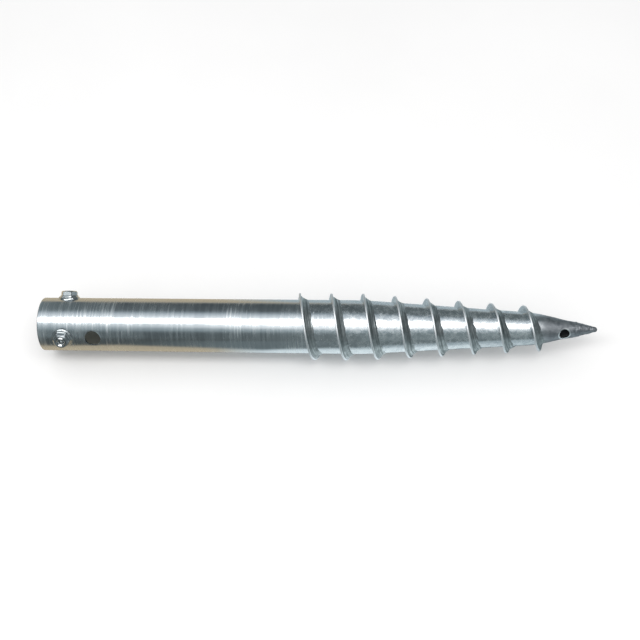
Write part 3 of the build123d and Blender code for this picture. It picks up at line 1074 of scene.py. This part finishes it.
def mirrored_ground(tree, position):
    """Ground as the metal mirrors it, glowing as painted light: warm by the socket, cool by the
    flight, with painted shade towards the viewer and a painted shadow underneath.
    """
    place = split(tree, position)
    x, y = place["X"], place["Y"]
    ground = mix_colour(tree, remap(tree, x, 0.20, 0.30), WARM_GROUND, COOL_GROUND)
    shade = mix_colour(tree, remap(tree, x, 0.06, 0.22), WARM_SHADE, COOL_SHADE)

    to_left = remap(tree, x, 0.28, 0.08, 0, 0.042)
    to_mouth = remap(tree, x, 0.08, 0.0, 0, 0.020)
    to_right = remap(tree, x, 0.28, 0.78, 0, 0.195)
    shift = combine(tree, "ADD", combine(tree, "SUBTRACT", to_left, to_mouth), to_right)
    # Painted shade: the mirrored ground falls into shade beyond a bent line on the viewer's side.
    lit = remap(tree, combine(tree, "ADD", y, shift), -0.068, -0.044)
    # Painted shadow of the anchor on the mirrored ground beneath it.
    under = combine(tree, "MULTIPLY", remap(tree, y, -0.028, -0.020), remap(tree, y, 0.052, 0.040))

    # Painted light: a brighter patch of mirrored ground in front of the flight.
    near = combine(tree, "MULTIPLY", remap(tree, y, -0.090, -0.066), remap(tree, y, 0.0, -0.01))
    by_flight = remap(tree, x, 0.22, 0.30)
    short_of_tip = remap(tree, x, 0.62, 0.50, 0.25, 1.0)
    near = combine(tree, "MULTIPLY", near, by_flight, short_of_tip)
    ground = mix_colour(tree, near, ground, BRIGHT_GROUND)
    return mix_colour(tree, combine(tree, "SUBTRACT", lit, under), shade, ground)


def add_floor():
    """Round pale floor; only the metal's reflections see the warm and cool ground on it, which
    glows with painted light and shade.
    """
    material = bpy.data.materials.new("pale_floor")
    material.use_nodes = True
    tree = material.node_tree
    tree.nodes.clear()
    position = add_node(tree, "ShaderNodeTexCoord").outputs["Object"]
    seen = plain_floor(tree, position)
    ground = mirrored_ground(tree, position)
    mirrored = add_node(tree, "ShaderNodeEmission", {"Color": ground}).outputs["Emission"]
    is_mirrored = add_node(tree, "ShaderNodeLightPath").outputs["Is Glossy Ray"]
    inputs = {0: is_mirrored, 1: seen, 2: mirrored}
    mixed = add_node(tree, "ShaderNodeMixShader", inputs).outputs["Shader"]
    add_node(tree, "ShaderNodeOutputMaterial", {"Surface": mixed})

    turns = np.radians(np.arange(0, 360, 7.5))
    rim = FLOOR_REACH * np.stack([np.cos(turns), np.sin(turns), 0 * turns], axis=-1)
    vertices = rim + [SOCKET_LENGTH, 0, FLOOR_Z]
    mesh = bpy.data.meshes.new("floor")
    mesh.from_pydata(vertices.tolist(), [], [list(range(len(vertices)))])
    mesh.materials.append(material)
    floor = bpy.data.objects.new("floor", mesh)
    bpy.context.scene.collection.objects.link(floor)


def mirrored_room(tree, axis):
    """Room as the metal mirrors it: graded by angle, glowing overhead, lifted to either side."""
    towards_viewer = combine(tree, "MULTIPLY", axis["Y"], -1.0)
    angle = combine(tree, "ARCTAN2", axis["Z"], towards_viewer)
    turn = combine(tree, "SUBTRACT", angle, math.radians(RAMP_START))
    turn = combine(tree, "FRACT", combine(tree, "DIVIDE", turn, 2 * math.pi), 0.0)
    ramp = add_node(tree, "ShaderNodeValToRGB", {"Fac": turn})
    elements = ramp.color_ramp.elements
    while len(elements) < len(ROOM):
        elements.new(0.5)
    for element, (degrees, colour) in zip(elements, ROOM):
        element.position = (degrees - RAMP_START) / 360
        element.color = colour

    to_right = remap(tree, axis["X"], 0.0, 0.16, 0.0, -0.13)
    glow_start = remap(tree, combine(tree, "ADD", angle, to_right), 0.85, 0.97)
    glow_end = remap(tree, angle, 1.75, 1.60)
    glow_side = remap(tree, axis["X"], -0.30, -0.08)
    glow = combine(tree, "MULTIPLY", glow_start, glow_end, glow_side)
    room = mix_colour(tree, glow, ramp.outputs["Color"], ROOM_GLOW)

    low = remap(tree, angle, 1.1, 0.5, 0.6, 1.0)
    lift_right = combine(tree, "MULTIPLY", remap(tree, axis["X"], -0.26, 0.02, 0.06, 0.25), low)
    lift_left = remap(tree, axis["X"], -0.27, -0.36, 0.06, 0.28)
    lifted = scaled(tree, LIFT_TINT, combine(tree, "MAXIMUM", lift_right, lift_left))
    room = combine_vectors(tree, "MAXIMUM", room, lifted)["Vector"]

    to_tip = remap(tree, axis["X"], 0.38, 0.60)
    to_mouth = remap(tree, axis["X"], -0.50, -0.74)
    return mix_colour(tree, combine(tree, "MAXIMUM", to_tip, to_mouth), room, ROOM_DARK)


def add_room():
    """World light: pale to the eye and to the floor, a graded room as mirrored in the metal."""
    world = bpy.data.worlds.new("studio")
    bpy.context.scene.world = world
    world.use_nodes = True
    tree = world.node_tree
    tree.nodes.clear()
    direction = add_node(tree, "ShaderNodeTexCoord").outputs["Generated"]
    room = mirrored_room(tree, split(tree, direction))
    rays = add_node(tree, "ShaderNodeLightPath").outputs
    shown = mix_colour(tree, rays["Is Diffuse Ray"], room, (0.88, 0.88, 0.88, 1))
    shown = mix_colour(tree, rays["Is Camera Ray"], shown, PALE)
    background = add_node(tree, "ShaderNodeBackground", {"Color": shown}).outputs["Background"]
    add_node(tree, "ShaderNodeOutputWorld", {"Surface": background})


def add_strip_light():
    """Long soft box over the anchor, tipped a little towards the viewer."""
    lean = math.radians(10.6)
    distance = 1.3
    middle = Vector((0.10, 0, 0))
    light = bpy.data.lights.new("strip_light", "AREA")
    light.shape = "RECTANGLE"
    light.size = 1.9
    light.size_y = 0.44
    light.energy = 8.3
    light.color = (1.0, 0.99, 0.98)
    lamp = bpy.data.objects.new("strip_light", light)
    lamp.location = middle + distance * Vector((0, -math.sin(lean), math.cos(lean)))
    lamp.rotation_euler = (-lean, 0, 0)
    lamp.visible_camera = False
    bpy.context.scene.collection.objects.link(lamp)


def add_camera():
    """Camera high on the viewer's side, swung slightly towards the tip, with a trace of roll."""
    swing = math.radians(5.6)
    elevation = math.radians(62.0)
    roll = math.radians(0.57)
    distance = 1.464
    target = Vector((0.3575, 0, 0))
    rise_of_frame = 0.0085
    ahead = math.cos(swing)
    back = Vector((math.sin(swing), -math.cos(elevation) * ahead, math.sin(elevation) * ahead))
    level = Vector((1, 0, 0))
    level = (level - level.dot(back) * back).normalized()
    rise = back.cross(level)
    right = math.cos(roll) * level + math.sin(roll) * rise
    up = math.cos(roll) * rise - math.sin(roll) * level
    data = bpy.data.cameras.new("camera")
    data.sensor_width = 36
    data.lens = 65.05
    camera = bpy.data.objects.new("camera", data)
    camera.matrix_world = Matrix((right, up, back)).transposed().to_4x4()
    camera.location = target + rise_of_frame * up + distance * back
    bpy.context.scene.collection.objects.link(camera)
    bpy.context.scene.camera = camera


add_floor()
add_room()
add_strip_light()
add_camera()
bpy.context.scene.view_settings.view_transform = "Standard"
